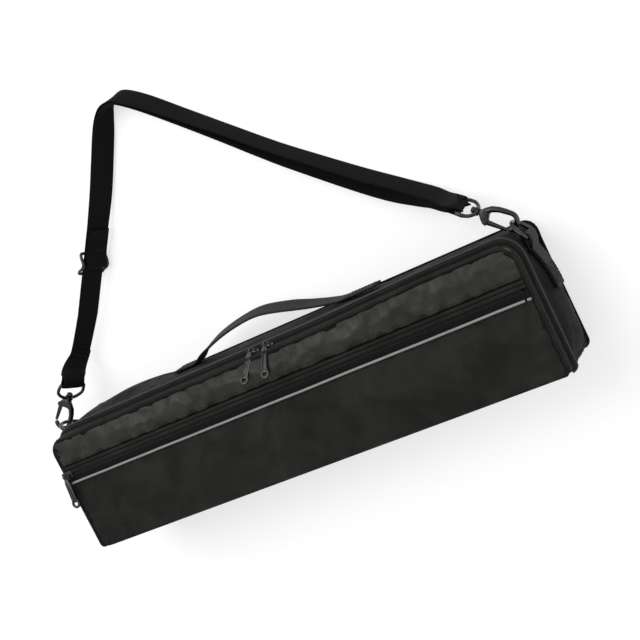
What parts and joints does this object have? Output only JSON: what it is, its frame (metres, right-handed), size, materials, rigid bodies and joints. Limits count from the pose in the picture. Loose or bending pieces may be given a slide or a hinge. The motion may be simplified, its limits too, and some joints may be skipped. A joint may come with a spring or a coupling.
{
  "type": "flute bag",
  "caption": "Padded black flute bag with a zipped lid, zipped front pocket, silver piping, webbing carry handle and adjustable clip-on shoulder strap, lying on its back.",
  "frame": {"origin": "middle of the back panel's outer face, which lies on the floor", "axes": "+X along the bag's length, +Y towards the carry handle, +Z out of the front"},
  "size_m": [0.4598, 0.3336, 0.0885],
  "materials": {
    "body_fabric": "matte woven nylon",
    "upper_nylon": "glossy crinkled nylon",
    "webbing": "ribbed webbing",
    "zip_tape": "fine woven tape",
    "lining": "smooth lining",
    "dark_piping": "satin",
    "silver_piping": "reflective satin",
    "black_metal": "satin black"
  },
  "bodies": {
    "case": {"back_panel": "body_fabric", "gusset_band": "body_fabric", "bottom_panel": "body_fabric", "wall_lining": "lining", "floor_lining": "lining", "base_zip_tape": "zip_tape", "gusset_piping": "dark_piping", "carry_handle": "webbing", "d_ring_tab_left": "webbing", "d_ring_tab_right": "webbing", "strap_webbing": "webbing", "strap_loop_left": "black_metal", "strap_loop_right": "black_metal"},
    "lid": {"lid_board": "body_fabric", "lid_lining": "lining", "upper_front_panel": "upper_nylon", "pocket_panel": "body_fabric", "lid_zip_tape": "zip_tape", "pocket_zip_lower_tape": "zip_tape", "pocket_zip_upper_tape": "zip_tape", "reflective_piping": "silver_piping", "piping_tip": "silver_piping"},
    "main_slider_left": {"main_slider_left": "black_metal"},
    "main_slider_right": {"main_slider_right": "black_metal"},
    "main_pull_left": {"main_pull_left": "black_metal"},
    "main_pull_right": {"main_pull_right": "black_metal"},
    "pocket_slider": {"pocket_slider": "black_metal"},
    "pocket_pull": {"pocket_pull": "black_metal"},
    "d_ring_left": {"d_ring_left": "black_metal"},
    "d_ring_right": {"d_ring_right": "black_metal"},
    "hook_left": {"hook_left": "black_metal"},
    "hook_right": {"hook_right": "black_metal"},
    "gate_left": {"gate_left": "black_metal"},
    "gate_right": {"gate_right": "black_metal"},
    "strap_adjuster": {"tri_glide": "black_metal", "strap_adjuster_fold": "webbing"}
  },
  "joints": [
    {"name": "lid_hinge", "type": "hinge", "parent": "case", "child": "lid", "pos_m": [0, -0.052, 0.07025], "axis": [1, 0, 0], "range_deg": [0, 110]},
    {"name": "main_slider_left_run", "type": "slide", "parent": "lid", "child": "main_slider_left", "axis": [-1, 0, 0], "range_m": [0, 0.17]},
    {"name": "main_slider_right_run", "type": "slide", "parent": "lid", "child": "main_slider_right", "axis": [1, 0, 0], "range_m": [0, 0.17]},
    {"name": "main_pull_left_swing", "type": "hinge", "parent": "main_slider_left", "child": "main_pull_left", "pos_m": [-0.0085, 0.05375, 0.07361], "axis": [-1, 0, 0], "range_deg": [0, 150]},
    {"name": "main_pull_right_swing", "type": "hinge", "parent": "main_slider_right", "child": "main_pull_right", "pos_m": [0.005, 0.05375, 0.07361], "axis": [-1, 0, 0], "range_deg": [0, 150]},
    {"name": "pocket_slider_run", "type": "slide", "parent": "lid", "child": "pocket_slider", "axis": [1, 0, 0], "range_m": [0, 0.4]},
    {"name": "pocket_pull_swing", "type": "hinge", "parent": "pocket_slider", "child": "pocket_pull", "pos_m": [-0.2135, 0.0169, 0.0826], "axis": [-1, 0, 0], "range_deg": [0, 160]},
    {"name": "d_ring_left_swing", "type": "hinge", "parent": "case", "child": "d_ring_left", "pos_m": [-0.2172, 0.0458, 0.0345], "axis": [0, 0, 1], "range_deg": [-3, 1.5]},
    {"name": "d_ring_right_swing", "type": "hinge", "parent": "case", "child": "d_ring_right", "pos_m": [0.2172, 0.0458, 0.0345], "axis": [0, 0, 1], "range_deg": [-2, 5]},
    {"name": "hook_left_swivel", "type": "hinge", "parent": "case", "child": "hook_left", "pos_m": [-0.21086, 0.07224, 0.0345], "axis": [-0.7193, -0.6947, 0], "range_deg": [-15, 15]},
    {"name": "hook_right_swivel", "type": "hinge", "parent": "case", "child": "hook_right", "pos_m": [0.19082, 0.07728, 0.0345], "axis": [0.7009, -0.7133, 0], "range_deg": [-15, 15]},
    {"name": "gate_left_spring", "type": "hinge", "parent": "hook_left", "child": "gate_left", "pos_m": [-0.22051, 0.07071, 0.0345], "axis": [0, 0, 1], "range_deg": [0, 20], "stiffness_Nm_per_rad": 0.02, "springref_deg": -11.46},
    {"name": "gate_right_spring", "type": "hinge", "parent": "hook_right", "child": "gate_right", "pos_m": [0.19243, 0.06765, 0.0345], "axis": [0, 0, 1], "range_deg": [0, 20], "stiffness_Nm_per_rad": 0.02, "springref_deg": -11.46},
    {"name": "strap_adjuster_run", "type": "slide", "parent": "case", "child": "strap_adjuster", "axis": [-0.6157, -0.788, 0], "range_m": [0, 0.03]}
  ]
}
